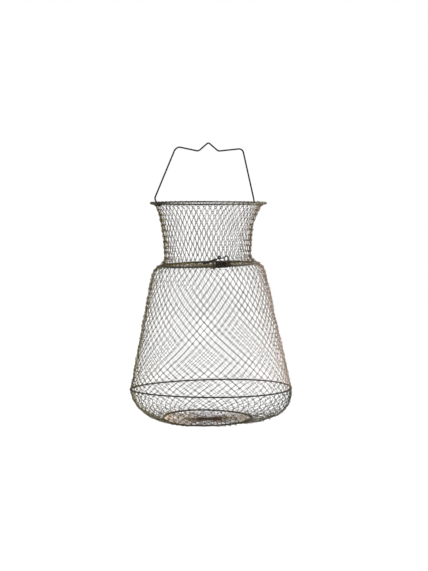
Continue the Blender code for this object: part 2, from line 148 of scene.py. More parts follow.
def floorPaper():
    material = bpy.data.materials.new("floor_paper")
    material.use_nodes = True
    tree = material.node_tree
    shader = tree.nodes["Principled BSDF"]
    shader.inputs["Roughness"].default_value = 0.9
    shader.inputs["Specular IOR Level"].default_value = 0.1
    fibre = tree.nodes.new("ShaderNodeTexNoise")
    fibre.inputs["Scale"].default_value = studio["paperFibre"]
    tint = tree.nodes.new("ShaderNodeValToRGB")
    for stop, tone in zip(tint.color_ramp.elements, studio["paperTones"]):
        stop.color = (tone, tone, tone, 1)
    tree.links.new(fibre.outputs["Fac"], tint.inputs["Fac"])
    tree.links.new(tint.outputs["Color"], shader.inputs["Base Color"])
    glow = tree.nodes.new("ShaderNodeEmission")
    glow.inputs["Strength"].default_value = studio["paperGlow"]
    mix = whiteBackdrop(tree, tree.nodes["Material Output"], shader.outputs[0])
    shade = tree.nodes.new("ShaderNodeMixShader")
    shade.inputs[0].default_value = studio["paperShare"]
    tree.links.new(shader.outputs[0], shade.inputs[1])
    tree.links.new(glow.outputs[0], shade.inputs[2])
    tree.links.new(shade.outputs[0], mix.inputs[2])
    return material


def addStudio():
    addSky()
    bpy.ops.mesh.primitive_plane_add(size=studio["floorSize"])
    floor = bpy.context.active_object
    floor.name = "floor"
    floor.location.z = cadBox[0].z - studio["floorGap"]
    floor.data.materials.append(floorPaper())
    middle = Vector((0, 0, (cadBox[0].z + cadBox[1].z) / 2))
    for name, (aside, height, size, power) in studio["lamps"].items():
        lamp = bpy.data.lights.new(name, "AREA")
        lamp.shape = "DISK"
        lamp.size = size
        lamp.energy = power
        angle = radians(view["looksTowards"] + 180 + aside)
        thing = bpy.data.objects.new(name, lamp)
        thing.location = middle + Vector((cos(angle), sin(angle), 0)) * studio["lampDistance"]
        thing.location.z += height
        thing.rotation_euler = (middle - thing.location).to_track_quat("-Z", "Y").to_euler()
        bpy.context.scene.collection.objects.link(thing)


addStudio()
print("studio lit")


# finishes

patina = {
    "shine": 0.2,
    "stainDetail": 5,
    "speckDetail": 3,
    "speckShare": 0.6,        # how much the small specks count beside the big stains
    "stainGain": 1.5,         # the stains' noise is spread by this and moved by the next
    "stainShift": -0.55,
    "firstStop": 0.22,        # where the first and the last colour stand
    "lastStop": 0.86,
    "pitDepth": 0.0002,
}
acrossTowards = -32.6         # degrees round from +X: tones change and rings bend across the net this way


def sideTone(nodes, links, place, colour, tones):
    # tones multiply the colour, from one side of the net to the other
    across = nodes.new("ShaderNodeVectorMath")
    across.operation = "DOT_PRODUCT"
    across.inputs[1].default_value = (cos(radians(acrossTowards)), sin(radians(acrossTowards)), 0)
    links.new(place.outputs["Object"], across.inputs[0])
    share = nodes.new("ShaderNodeMapRange")
    share.inputs["From Min"].default_value = -tones["reach"]
    share.inputs["From Max"].default_value = tones["reach"]
    links.new(across.outputs["Value"], share.inputs["Value"])
    tone = nodes.new("ShaderNodeValToRGB")
    stops = tone.color_ramp.elements
    stops[0].color, stops[1].color = (*tones["near"], 1), (*tones["far"], 1)
    for where in tones["middle"]:
        stops.new(where).color = (*tones["between"], 1)
    links.new(share.outputs[0], tone.inputs["Fac"])
    toned = nodes.new("ShaderNodeMix")
    toned.data_type = "RGBA"
    toned.blend_type = "MULTIPLY"
    toned.inputs["Factor"].default_value = 1.0
    links.new(colour, toned.inputs[6])         # 6 and 7 are the two colours, 2 is the mixed one
    links.new(tone.outputs["Color"], toned.inputs[7])
    return toned.outputs[2]


def wireFinish(name, colours, patch, speck, roughness, metallic, grit, tones=None):
    # patch and speck are the widths, in metres, of the big stains and of the small ones
    material = bpy.data.materials.new(name)
    material.use_nodes = True
    nodes, links = material.node_tree.nodes, material.node_tree.links
    shader = nodes["Principled BSDF"]
    shader.inputs["Metallic"].default_value = metallic
    shader.inputs["Specular IOR Level"].default_value = patina["shine"]
    place = nodes.new("ShaderNodeTexCoord")
    stains = nodes.new("ShaderNodeTexNoise")
    stains.inputs["Scale"].default_value = 1 / patch
    stains.inputs["Detail"].default_value = patina["stainDetail"]
    specks = nodes.new("ShaderNodeTexNoise")
    specks.inputs["Scale"].default_value = 1 / speck
    specks.inputs["Detail"].default_value = patina["speckDetail"]
    links.new(place.outputs["Object"], stains.inputs["Vector"])
    links.new(place.outputs["Object"], specks.inputs["Vector"])
    blend = nodes.new("ShaderNodeMath")
    blend.operation = "MULTIPLY_ADD"
    blend.inputs[1].default_value = patina["speckShare"]
    links.new(specks.outputs["Fac"], blend.inputs[0])
    reach = nodes.new("ShaderNodeMath")
    reach.operation = "MULTIPLY_ADD"
    reach.inputs[1].default_value = patina["stainGain"]
    reach.inputs[2].default_value = patina["stainShift"]
    links.new(stains.outputs["Fac"], reach.inputs[0])
    links.new(reach.outputs[0], blend.inputs[2])
    ramp = nodes.new("ShaderNodeValToRGB")
    stops = ramp.color_ramp.elements
    first, last = patina["firstStop"], patina["lastStop"]
    stops[0].position, stops[0].color = first, (*colours[0], 1)
    stops[1].position, stops[1].color = last, (*colours[-1], 1)
    for step, colour in enumerate(colours[1:-1], 1):
        stop = stops.new(first + (last - first) * step / (len(colours) - 1))
        stop.color = (*colour, 1)
    links.new(blend.outputs[0], ramp.inputs["Fac"])
    colour = ramp.outputs["Color"]
    if tones:
        colour = sideTone(nodes, links, place, colour, tones)
    links.new(colour, shader.inputs["Base Color"])
    dull = nodes.new("ShaderNodeMapRange")
    dull.inputs["To Min"].default_value = roughness[0]
    dull.inputs["To Max"].default_value = roughness[1]
    links.new(specks.outputs["Fac"], dull.inputs["Value"])
    links.new(dull.outputs[0], shader.inputs["Roughness"])
    pits = nodes.new("ShaderNodeBump")
    pits.inputs["Strength"].default_value = grit
    pits.inputs["Distance"].default_value = patina["pitDepth"]
    links.new(specks.outputs["Fac"], pits.inputs["Height"])
    links.new(pits.outputs[0], shader.inputs["Normal"])
    return material


weathering = {                # olive on one side, and pale and pinkish on the other
    "reach": 0.15,            # from the middle to where the near and the far tone are met
    "near": (0.64, 0.61, 0.10),
    "between": (0.40, 0.32, 0.20),
    "middle": (0.42, 0.70),
    "far": (2.40, 2.30, 4.00),
}
grime = {                     # the bowl is greyer, and darkest where the weathering is palest
    "reach": 0.15,
    "near": (0.74, 0.76, 0.34),
    "between": (0.34, 0.30, 0.22),
    "middle": (0.42, 0.70),
    "far": (0.34, 0.40, 0.34),
}
rust = {                      # the base is orange on one side, dark in the middle and grey beyond it
    "reach": 0.09,
    "near": (2.80, 2.28, 0.46),
    "between": (0.34, 0.20, 0.18),
    "middle": (0.41, 0.57),
    "far": (1.75, 1.80, 1.95),
}
wearAndHighlight = {                      # the mouth and throat rings are lighter on one side: partly lost black, partly a painted highlight
    "reach": 0.10,
    "near": (0.12, 0.12, 0.12),
    "between": (1.00, 1.00, 1.00),
    "middle": (0.36, 0.60),
    "far": (2.20, 2.20, 2.20),
}
finishes = {
    "netting": wireFinish(
        "tarnished_netting",
        [(0.080, 0.064, 0.020), (0.120, 0.090, 0.034), (0.175, 0.128, 0.056), (0.165, 0.096, 0.042)],
        patch=0.055, speck=0.0022, roughness=(0.45, 0.75), metallic=0.45, grit=0.35, tones=weathering),
    "bowl_netting": wireFinish(
        "grimy_netting",
        [(0.080, 0.068, 0.026), (0.120, 0.094, 0.042), (0.175, 0.135, 0.066), (0.165, 0.104, 0.048)],
        patch=0.055, speck=0.0022, roughness=(0.45, 0.75), metallic=0.45, grit=0.35, tones=grime),
    "disc_netting": wireFinish(
        "rusty_netting",
        [(0.030, 0.022, 0.007), (0.080, 0.052, 0.017), (0.170, 0.105, 0.036), (0.280, 0.150, 0.055)],
        patch=0.022, speck=0.0022, roughness=(0.50, 0.80), metallic=0.30, grit=0.40, tones=rust),
    "door_netting": wireFinish(
        "olive_netting",
        [(0.060, 0.050, 0.018), (0.130, 0.106, 0.040), (0.230, 0.185, 0.075), (0.300, 0.230, 0.100)],
        patch=0.022, speck=0.0022, roughness=(0.50, 0.80), metallic=0.30, grit=0.40),
    "black_wire": wireFinish(
        "blackened_ring",
        [(0.004, 0.004, 0.0035), (0.009, 0.0085, 0.007), (0.024, 0.020, 0.014)],
        patch=0.030, speck=0.0015, roughness=(0.45, 0.70), metallic=0.10, grit=0.30),
    # the mouth and throat rings' grey is partly wear and partly a painted highlight on the black wire,
    # brightest on one side
    "worn_and_highlit_wire": wireFinish(
        "worn_and_highlit_ring",
        [(0.020, 0.020, 0.015), (0.060, 0.057, 0.044), (0.150, 0.141, 0.110)],
        patch=0.030, speck=0.0015, roughness=(0.35, 0.60), metallic=0.20, grit=0.30, tones=wearAndHighlight),
    "door_wire": wireFinish(
        "brown_door_wire",
        [(0.016, 0.012, 0.006), (0.046, 0.036, 0.016), (0.110, 0.080, 0.036)],
        patch=0.014, speck=0.0012, roughness=(0.50, 0.78), metallic=0.20, grit=0.45),
    "spring_wire": wireFinish(
        "rusty_spring",
        [(0.004, 0.003, 0.003), (0.010, 0.007, 0.005), (0.040, 0.022, 0.012)],
        patch=0.007, speck=0.0009, roughness=(0.50, 0.80), metallic=0.10, grit=0.50),
}
print("finishes mixed")


# rings, read from the frame

ringLook = {
    "steps": 240,
    "smallSteps": 48,         # for rings under the next radius
    "smallRadius": 0.02,
    "weldLength": 0.006,
    "weldSwell": 0.14,        # the butt weld stands this much proud
    "waver": 0.0004,          # hand-bent wire is never quite round
    "waverUp": 0.5,           # and wavers up and down by this share of it
    "waverPace": 1.3,         # more of this makes more bends in it
    "waverDraw": 40,          # gives each size of ring a waver of its own
    "bellyWarp": 0.0014,      # how far a ring is bent up and down, twice round
    "baseWarp": -0.0009,
    "warpTowards": radians(acrossTowards),
    "bellyCoat": 0.0001,      # the belly ring's black coat is thick
}


def readRing(node, warp=0.0, coat=0.0):
    points = np.array([vert.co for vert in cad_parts[node].data.vertices], float)
    middle = points.mean(axis=0)
    away = points - middle
    axis = np.linalg.svd(away, full_matrices=False)[2][2]
    axis = axis * np.sign(axis[2])
    high = away @ axis
    flat = np.linalg.norm(away - np.outer(high, axis), axis=1)
    radius = (flat.max() + flat.min()) / 2
    thick = np.hypot(high, flat - radius).max()
    tilt = Vector((0, 0, 1)).rotation_difference(Vector(axis)).to_matrix().to_4x4()
    return {
        "node": node,
        "radius": float(radius),
        "wire": float(thick) + coat,   # half its thickness
        "height": float(middle[2]),
        "warp": warp,
        "place": Matrix.Translation(Vector(middle)) @ tilt,
    }


mouth = readRing("mouth_ring")
throat = readRing("throat_ring")
belly = readRing("belly_ring", ringLook["bellyWarp"], ringLook["bellyCoat"])
base = readRing("base_ring", ringLook["baseWarp"])
doorGather = readRing("door_gather_ring")
baseGather = readRing("base_gather_ring")


# wires

def bendWire(name, runs, half, finish, closed=False, sides=3, swell=None):
    # each run is a list of points; half is half the wire's thickness, and swell has each point's
    # share of it
    curve = bpy.data.curves.new(name, "CURVE")
    curve.dimensions = "3D"
    curve.bevel_depth = half
    curve.bevel_resolution = sides
    curve.use_fill_caps = True
    for run in runs:
        spline = curve.splines.new("POLY")
        spline.points.add(len(run) - 1)
        spline.points.foreach_set("co", [value for point in run for value in (*point, 1.0)])
        if swell:
            spline.points.foreach_set("radius", swell)
        spline.use_cyclic_u = closed
    bent = bpy.data.objects.new(name, curve)
    bpy.context.scene.collection.objects.link(bent)
    mesh = bpy.data.meshes.new_from_object(bent.evaluated_get(bpy.context.evaluated_depsgraph_get()))
    bpy.data.objects.remove(bent)
    bpy.data.curves.remove(curve)
    mesh.name = name
    mesh.materials.clear()
    mesh.materials.append(finishes[finish])
    mesh.shade_smooth()
    wire = bpy.data.objects.new(name, mesh)
    bpy.context.scene.collection.objects.link(wire)
    return wire


def rounded(corners, bend, steps=8, most=0.45):
    # the corners of a bent wire, each inner one eased into a curve that starts a bend's length from
    # it; most is the largest share of a side that a curve may take
    points = [corners[0]]
    for before, corner, after in zip(corners, corners[1:], corners[2:]):
        back, ahead = before - corner, after - corner
        start = corner + back.normalized() * min(bend, back.length * most)
        end = corner + ahead.normalized() * min(bend, ahead.length * most)
        for step in range(steps + 1):
            t = step / steps
            points.append(start * (1 - t) ** 2 + corner * 2 * t * (1 - t) + end * t ** 2)
    points.append(corners[-1])
    return points


def bentUp(ring, angle):
    return ring["warp"] * sin(2 * (angle - ringLook["warpTowards"]))


def onRing(ring, angle, radius=None, height=0.0):
    radius = ring["radius"] if radius is None else radius
    return ring["place"] @ Vector((radius * cos(angle), radius * sin(angle), height + bentUp(ring, angle)))


def addRing(name, ring, body, finish, weldAt, waver=ringLook["waver"]):
    count = ringLook["steps"] if ring["radius"] > ringLook["smallRadius"] else ringLook["smallSteps"]
    run, swell = [], []
    for step in range(count):
        angle = 2 * pi * step / count
        draw = Vector((cos(angle), sin(angle), ring["radius"] * ringLook["waverDraw"]))
        wave = noise.noise(draw * ringLook["waverPace"])
        run.append(onRing(ring, angle, ring["radius"] + waver * wave, waver * ringLook["waverUp"] * wave))
        away = abs((angle - weldAt + pi) % (2 * pi) - pi) * ring["radius"]
        swell.append(1 + ringLook["weldSwell"] * exp(-(away / ringLook["weldLength"] * 2) ** 2))
    wire = bendWire(name, [run], ring["wire"], finish, closed=True, sides=4, swell=swell)
    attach(wire, body)
    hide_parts(ring["node"])


addRing("mouth_ring_wire", mouth, "mouth", "worn_and_highlit_wire", weldAt=radians(70))
addRing("throat_ring_wire", throat, "throat", "worn_and_highlit_wire", weldAt=radians(80))
addRing("belly_ring_wire", belly, "belly", "black_wire", weldAt=radians(110))
addRing("base_ring_wire", base, "base", "black_wire", weldAt=radians(-20))
addRing("door_gather_wire", doorGather, "door", "door_wire", weldAt=0, waver=0)
addRing("base_gather_wire", baseGather, "base", "door_wire", weldAt=0, waver=0)
print("rings bent")


# bail

bail = {
    "wire": 0.0016,
    "bend": 0.0045,
    "height": 0.1224,         # from the middle of the mouth ring to the peak
    "valleyAside": 0.0240,
    "valleyDepth": 0.0163,    # depths are below the peak
    "leftShoulder": (0.0716, 0.0079),
    "leftCorner": (0.0802, 0.0129),
    "rightShoulder": (0.0774, 0.0114),
    "rightCorner": (0.0848, 0.0154),
    "hookHeight": 0.0105,     # the bend over a hook, above the middle of the ring
    "hookHalfWidth": 0.0046,
    "hookFoot": 0.6,          # the hook's width under the ring, as a share of its width beside it
    "hookTip": 0.0030,
    "leftLean": 0.0110,       # from the ring out to the bend
    "rightLean": -0.0067,
    "gap": 0.0003,
}


def bailHook(side, lean):
    # down on the side that the bend leans to, under the ring, and up on its other side
    drop = mouth["wire"] + bail["wire"] + bail["gap"]
    near = bail["hookHalfWidth"] if lean > 0 else -bail["hookHalfWidth"]
    outline = [
        (lean, bail["hookHeight"]),
        (near, 0),
        (near * bail["hookFoot"], -drop),
        (-near * bail["hookFoot"], -drop),
        (-near, 0),
        (-near, bail["hookTip"]),
    ]
    return [Vector((side * (mouth["radius"] + out), 0, up)) for out, up in outline]


def addBail():
    depth, aside = bail["valleyDepth"], bail["valleyAside"]
    peakLoss = bail["bend"] / 2 * depth / sqrt(depth ** 2 + aside ** 2)   # what its bend rounds off
    crown = [
        (-bail["leftCorner"][0], -bail["leftCorner"][1]),
        (-bail["leftShoulder"][0], -bail["leftShoulder"][1]),
        (-aside, -depth),
        (0, peakLoss),
        (aside, -depth),
        (bail["rightShoulder"][0], -bail["rightShoulder"][1]),
        (bail["rightCorner"][0], -bail["rightCorner"][1]),
    ]
    corners = bailHook(-1, bail["leftLean"])[::-1]
    corners += [Vector((across, 0, bail["height"] + up)) for across, up in crown]
    corners += bailHook(1, bail["rightLean"])
    lift = Vector((0, 0, mouth["height"]))
    path = [spot + lift for spot in rounded(corners, bail["bend"])]
    wire = bendWire("bail_wire", [path], bail["wire"], "black_wire", sides=4)
    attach(wire, "bail")
    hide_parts("bail_handle")


addBail()
print("bail bent")


# netting: each row is a wire wound in flat turns, with its crests through the hollows of the row above

net = {
    "cells": 57,             # meshes in every row, from the mouth to the base ring
    "wire": 0.00045,         # half its thickness
    "finish": "netting",
    "depth": 0.0016,         # how far a hook stands out of the netting, and
    "slack": 0.2,            # the share of it that the wire keeps halfway to the next hook
    "hook": 0.0012,          # half the width of a hook,
    "hookShare": 0.3,        # but never more than this share of a mesh
    "rise": 0.0010,          # half its height
    # a hook's bends, as shares of its width, height and depth: across, down and out; and the bends
    # of one that wraps a ring, as shares of how far it stands off
    "hookBends": [(-1.0, 1.0, -1.0), (-0.75, -0.15, -0.8), (0.0, -0.65, 0.0), (0.75, -0.15, 0.8),
                  (1.0, 1.0, 1.0)],
    "wrapBends": [(-1.0, 1.5, -0.7), (-0.8, 0.3, -1.0), (-0.5, -0.7, -0.75), (0.0, -1.0, 0.0),
                  (0.5, -0.7, 0.75), (0.8, 0.3, 1.0), (1.0, 1.5, 0.7)],
    "threadRoom": 1.5,       # half thicknesses between a threaded ring and the wires that cross it
    "linkLengths": (0.001, 0.1),   # the wire from hook to hook is sought between these
    "linkTrials": 40,
    "probe": 0.0005,         # the step that the netting's slope is taken over,
    "probeRadius": 0.004,    # and the smallest radius it is turned into an angle at
    "strayWide": 0.0014,     # slow drift of the meshes off their even places
    "strayNear": 0.0007,     # small unevenness from one hook to the next
    "strayOut": 0.0024,      # and how much more of it there is in and out
    "strayOutDraw": Vector((5, 5, 5)),
    "strayWideSize": 0.045,
    "strayNearSize": 0.006,
    "strayFull": 0.02,       # the unevenness is all there this far from the wires that hold the net
    "closer": 0.019,         # the meshes crowd this much on one side
    "closerTowards": radians(-122.6),
    "drift": 0.033,          # and have turned this far across from it
    "leansTowards": radians(147.4),
    "seed": 3,               # without it the unevenness would be new in every run
}
noise.seed_set(net["seed"])


class Side:
    # a net's outline from one edge to the other, as radius and height, measured along itself
    def __init__(self, spots):
        self.spots = np.array([[spot.x, spot.y] for spot in spots])
        steps = np.linalg.norm(np.diff(self.spots, axis=0), axis=1)
        self.along = np.concatenate([[0], np.cumsum(steps)])
        self.length = float(self.along[-1])

    def at(self, reach):
        radius = np.interp(reach, self.along, self.spots[:, 0])
        height = np.interp(reach, self.along, self.spots[:, 1])
        return float(radius), float(height)


def bezier(start, first, second, end, count):
    side = []
    for step in range(count + 1):
        t = step / count
        side.append(start * (1 - t) ** 3 + first * 3 * t * (1 - t) ** 2
                    + second * 3 * t ** 2 * (1 - t) + end * t ** 3)
    return side


def rimSpot(ring):
    return Vector((ring["radius"], ring["height"]))


def towards(angle, length):
    return Vector((length * cos(angle), length * sin(angle), 0))


def between(upper, lower, lean=0.0):
    # carries a point of an upright net to where its two rings hang, and a little aside halfway
    def carry(angle, radius, height):
        share = (upper["height"] - height) / (upper["height"] - lower["height"])
        spot = towards(angle, radius) + Vector((0, 0, height))
        high = upper["place"] @ (spot - Vector((0, 0, upper["height"] - bentUp(upper, angle))))
        low = lower["place"] @ (spot - Vector((0, 0, lower["height"] - bentUp(lower, angle))))
        return high.lerp(low, share) + towards(net["leansTowards"], lean * sin(pi * share))
    return carry


def within(ring, lift=0.0):
    def carry(angle, radius, height):
        up = height + lift + bentUp(ring, angle) * radius / ring["radius"]
        return ring["place"] @ Vector((radius * cos(angle), radius * sin(angle), up))
    return carry


def rowsAlong(side, rows, start, end, cells=net["cells"]):
    # where each row's hooks sit: all the wire between hooks is equally long, so wide meshes are low
    def walk(link):
        reach = [start]
        for row in range(rows):
            half = side.at(min(reach[-1], end))[0] * pi / cells
            reach.append(reach[-1] + sqrt(max(link ** 2 - half ** 2, link ** 2 / 16)))   # never quite flat
        return reach
    short, long = net["linkLengths"]
    for trial in range(net["linkTrials"]):
        link = (short + long) / 2
        if walk(link)[-1] < end:
            short = link
        else:
            long = link
    return walk(link)


def bunched(angle, share, down):
    # share is how far the body's own crowding has taken over from the neck's, and down is how far
    # from the throat to the belly ring the row is
    away = angle - net["closerTowards"]
    closer = net["closer"] + (body["closer"] - net["closer"]) * share
    drift = net["drift"] + (body["drift"] - net["drift"]) * share
    wave = body["wave"] * sin(pi * down)
    return angle - closer * sin(away) + drift * (1 - cos(away)) / 2 + wave * sin(2 * away)


def lowered(angle, down):
    # rows that hang lower on one side
    return (body["lopside"] * cos(angle - body["lowerTowards"]) * sin(pi * down)
            + body["topLopside"] * cos(angle - body["topLowerTowards"]) * sin(2 * pi * down))


def pushedFrom(angle, fitting, ring, room, away):
    # hooks near a fitting bunch up beside it, and less so further from the ring
    turn = (angle - fitting + pi) % (2 * pi) - pi
    along = abs(turn) * ring["radius"]
    if along > room["influence"]:
        return 0.0
    push = room["clear"] * (1 - along / room["influence"]) * exp(-(away / room["fade"]) ** room["power"])
    return push / ring["radius"] * (1 if turn > 0 else -1)


def hookFrame(side, carry, angle, reach):
    # a hook's place, and the ways along the row, down the net and out of it
    def spot(turn, far):
        return carry(turn, *side.at(min(max(far, 0.0), side.length)))
    step = net["probe"]
    radius = max(side.at(reach)[0], net["probeRadius"])
    around = spot(angle + step / radius, reach) - spot(angle - step / radius, reach)
    down = spot(angle, reach + step) - spot(angle, reach - step)
    around.normalize()
    down = (down - around * down.dot(around)).normalized()
    return spot(angle, reach), around, down, down.cross(around)


def strayed(hook, far):
    # the same hook moved by the net's unevenness, less of it near the rings that hold it
    place, around, down, out = hook
    wide = noise.noise_vector(place / net["strayWideSize"]) * net["strayWide"]
    near = noise.noise_vector(place / net["strayNearSize"]) * net["strayNear"]
    held = min(1.0, far / net["strayFull"])
    drift = (wide + near) * held
    bump = noise.noise(place / net["strayNearSize"] + net["strayOutDraw"]) * net["strayOut"] * held
    return place + around * drift.x + down * drift.y + out * (drift.z + bump), around, down, out


def crestPoints(hook, wide, over):
    # up the inside, over, and down the outside; over is how far the hook stands off a ring it wraps
    place, around, down, out = hook
    half = min(net["hook"], wide * net["hookShare"])
    if over:
        bends, high, deep = net["wrapBends"], over, over
    else:
        bends, high, deep = net["hookBends"], net["rise"], net["depth"]
    return [place + around * half * aside + down * high * low + out * deep * proud
            for aside, low, proud in bends]


def linkPoint(upper, lower, outside):
    # halfway along the wire from one hook to the next
    middle = (upper[0] + lower[0]) / 2
    return middle + (upper[3] + lower[3]) / 2 * net["depth"] * net["slack"] * outside


def hollowPoints(hook, wide, over):
    # down the outside, under, and up the inside
    place, around, down, out = hook
    return crestPoints((place, around, -down, -out), wide, over)


def weave(name, side, carry, reach, start, held, look=net, settled=None, aside=None, threaded=None):
    # start is the first row's turn in cells; held are the half thicknesses of the wires that the
    # first and the last row wrap, or None; settled gives a row's share of the body's crowding, how
    # many cells it has slipped and how far down the body it is; aside moves hooks out of the way of
    # fittings; threaded is a ring that runs through the last row's meshes, behind each second wire
    cellAngle = 2 * pi / look["cells"]
    wire = look["wire"]
    rows = len(reach) - 1
    clear = threaded["wire"] + net["threadRoom"] * wire if threaded else 0
    shift = aside or (lambda angle, far: 0.0)
    settled = settled or (lambda row: (1.0, 0.0, 0.0))

    def turnOf(cell, row, far):
        share, slipped, down = settled(row)
        angle = bunched((cell + start + row / 2 + slipped) * cellAngle, share, down)
        return angle + shift(angle, far)

    def hookAt(cell, row, far):
        angle = turnOf(cell, row, far)
        return hookFrame(side, carry, angle, far + lowered(angle, settled(row)[2]))

    def crossing(cell, row, proud):
        return onRing(threaded, turnOf(cell, row, side.length), threaded["radius"] + proud)

    hooks = []
    for row, far in enumerate(reach):
        # how far the row is from a wire that holds it, or 1 m where there is none
        room = min(far - reach[0] if held[0] else 1, reach[-1] - far if held[1] else 1)
        hooks.append([strayed(hookAt(cell, row, far), room) for cell in range(look["cells"])])
    runs = []
    for row in range(rows):
        wideAbove = side.at(reach[row])[0] * cellAngle / 2
        wideBelow = side.at(reach[row + 1])[0] * cellAngle / 2
        over = held[0] + wire if row == 0 and held[0] else None
        under = held[1] + wire if row == rows - 1 and held[1] else None
        crossed = threaded and row == rows - 1
        run = []
        for cell in range(look["cells"]):
            crest, hollow = hooks[row][cell], hooks[row + 1][cell]
            nextCrest = hooks[row][(cell + 1) % look["cells"]]
            run += crestPoints(crest, wideAbove, over)
            run.append(crossing(cell + 0.25, row, clear) if crossed else linkPoint(crest, hollow, 1))
            run += hollowPoints(hollow, wideBelow, under)
            run.append(crossing(cell + 0.75, row, -clear) if crossed else linkPoint(hollow, nextCrest, -1))
        runs.append(run)
    woven = bendWire(name, runs, wire, look["finish"], closed=True, sides=0)
    print(name, "rows", rows, "triangles", sum(len(face.vertices) - 2 for face in woven.data.polygons))
    return woven, start + rows / 2


# neck: a flare that fades into a straight tube, and out again to the throat ring

neck = {
    "radius": 0.0860,
    "lipInset": 0.0070,
    "lipDrop": 0.0050,
    "flareFade": 0.0400,
    "hem": 0.0100,            # the last stretch, which runs straight out to the throat ring
    "steps": 24,
    "lean": 0.0015,           # to one side, halfway down
    "rows": 12,               # above the row that the throat ring is threaded through
    "start": 0.49,
    "seamAbove": 0.0075,      # that row starts above the ring and ends below it
    "seamBelow": 0.0066,
}


def neckSpots():
    flare = mouth["radius"] - neck["lipInset"] - neck["radius"]
    last = mouth["height"] - throat["height"] - neck["hem"]
    spots = [rimSpot(mouth)]
    for step in range(neck["steps"] + 1):
        drop = neck["lipDrop"] + (last - neck["lipDrop"]) * step / neck["steps"]
        spots.append(Vector((neck["radius"] + flare * exp(-drop / neck["flareFade"]),
                             mouth["height"] - drop)))
    return spots + [rimSpot(throat)]


# body: a rounded shoulder under the throat, then a cone down to the belly ring

body = {
    "shoulderOut": 0.0178,
    "shoulderDrop": 0.0195,
    "shoulderStart": (0.55, 0.18),   # its curve's two inner corners, as shares of those
    "shoulderEnd": (0.90, 0.45),
    "shoulderSteps": 16,
    "lean": 0.0016,
    "rows": 30,
    "closer": -0.0276,        # its own crowding, which takes over from the neck's
    "drift": 0.0056,
    "slip": -0.11,            # with the meshes slipped this much of a cell
    "settles": 7,             # over this many rows
    "wave": -0.0068,          # halfway down the meshes stray to and fro by this angle,
    "lopside": 0.0060,        # and the rows hang lower on one side
    "lowerTowards": radians(112.6),
    "topLopside": 0.0015,     # a quarter of the way down this is added
    "topLowerTowards": radians(-52.3),
}


def bodySpots():
    out, drop = body["shoulderOut"], body["shoulderDrop"]
    start = rimSpot(throat)
    first, second = [start + Vector((out * outShare, -drop * dropShare))
                     for outShare, dropShare in (body["shoulderStart"], body["shoulderEnd"])]
    spots = bezier(start, first, second, start + Vector((out, -drop)), body["shoulderSteps"])
    return spots + [rimSpot(belly)]


hinge = {
    "towards": radians(-106.7),
    "halfSpan": 0.0165,       # from the middle to each of the door's eyes
    "clear": 0.0200,          # the nets' hooks are pushed this far from the middle along the ring
    "influence": 0.0700,      # less so up to this far away, and less so further from the ring
    "fade": 0.0120,
    "power": 1.5,
}
bailRoom = {"clear": 0.0100, "influence": 0.0500, "fade": 0.0120, "power": 1.5}   # beside the bail's hooks
tube = Side(neckSpots() + bodySpots()[1:])
throatReach = Side(neckSpots()).length


def clearOfFittings(angle, reach):
    push = pushedFrom(angle, hinge["towards"], throat, hinge, abs(reach - throatReach))
    for end in (0, pi):       # where the bail's hooks are
        push += pushedFrom(angle, end, mouth, bailRoom, reach)
    return push


def hang(angle, radius, height):
    if height > throat["height"]:
        return between(mouth, throat, neck["lean"])(angle, radius, height)
    return between(throat, belly, body["lean"])(angle, radius, height)


def asNeck(row):
    return 0.0, 0.0, 0.0      # none of the body's crowding, slip or lopside


def asBody(row):
    share = min(row / body["settles"], 1.0)
    share = share ** 2 * (3 - 2 * share)
    return share, share * body["slip"], row / body["rows"]


seam = throatReach + neck["seamBelow"]
reach = rowsAlong(tube, neck["rows"], 0, throatReach - neck["seamAbove"]) + [seam]
woven, turn = weave("neck_netting", tube, hang, reach, neck["start"], (mouth["wire"], None),
                    settled=asNeck, aside=clearOfFittings, threaded=throat)
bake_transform(woven)
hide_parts("neck_net")
print("neck woven")

reach = rowsAlong(tube, body["rows"], seam, tube.length)
woven, turn = weave("body_netting", tube, hang, reach, turn, (None, belly["wire"]),
                    settled=asBody, aside=clearOfFittings)
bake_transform(woven)
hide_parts("body_net")
print("body woven")


# bowl: baggy netting below the belly ring

bowl = {
    "cells": net["cells"],
    "wire": 0.00047,
    "finish": "bowl_netting",
    "topFullness": 0.0310,    # how far its side runs on down from the belly ring,
    "topInwards": 0.06,       # turned inwards by this share of that,
    "footFullness": 0.0480,   # and how far it runs out from the base ring,
    "footUpwards": 0.09,      # turned upwards by this share
    "steps": 40,
    "bulge": 0.0032,          # how far it bags out all round
    "lopside": 0.0070,        # and how much more on its fuller side
    "fullerTowards": radians(acrossTowards),
    "droop": 0.25,
    "rows": 13,
}


def bowlSide():
    start, end = rimSpot(belly), rimSpot(base)
    top, foot = bowl["topFullness"], bowl["footFullness"]
    first = start + Vector((-top * bowl["topInwards"], -top))
    second = end + Vector((foot, foot * bowl["footUpwards"]))
    return Side(bezier(start, first, second, end, bowl["steps"]))


def bagged(angle, radius, height):
    down = (belly["height"] - height) / (belly["height"] - base["height"])
    inwards = (belly["radius"] - radius) / (belly["radius"] - base["radius"])
    fullness = bowl["bulge"] + bowl["lopside"] * cos(angle - bowl["fullerTowards"])
    out = fullness * sin(pi * (down + inwards) / 2)
    return between(belly, base)(angle, radius + out, height - out * bowl["droop"])


side = bowlSide()
turn += body["slip"]
woven, turn = weave("bowl_netting", side, bagged, rowsAlong(side, bowl["rows"], 0, side.length), turn,
                    (belly["wire"], base["wire"]), look=bowl)
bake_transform(woven)
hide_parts("bowl_net")
print("bowl woven")


# base: netting drawn in to a small ring in the middle

baseNet = {"cells": 50, "rows": 8, "wire": 0.00037, "sag": 0.0030, "finish": "disc_netting"}


def discSide(rim, hole, sag, steps=12):
    return Side([Vector((rim + (hole - rim) * step / steps, -sag * step / steps))
                 for step in range(steps + 1)])


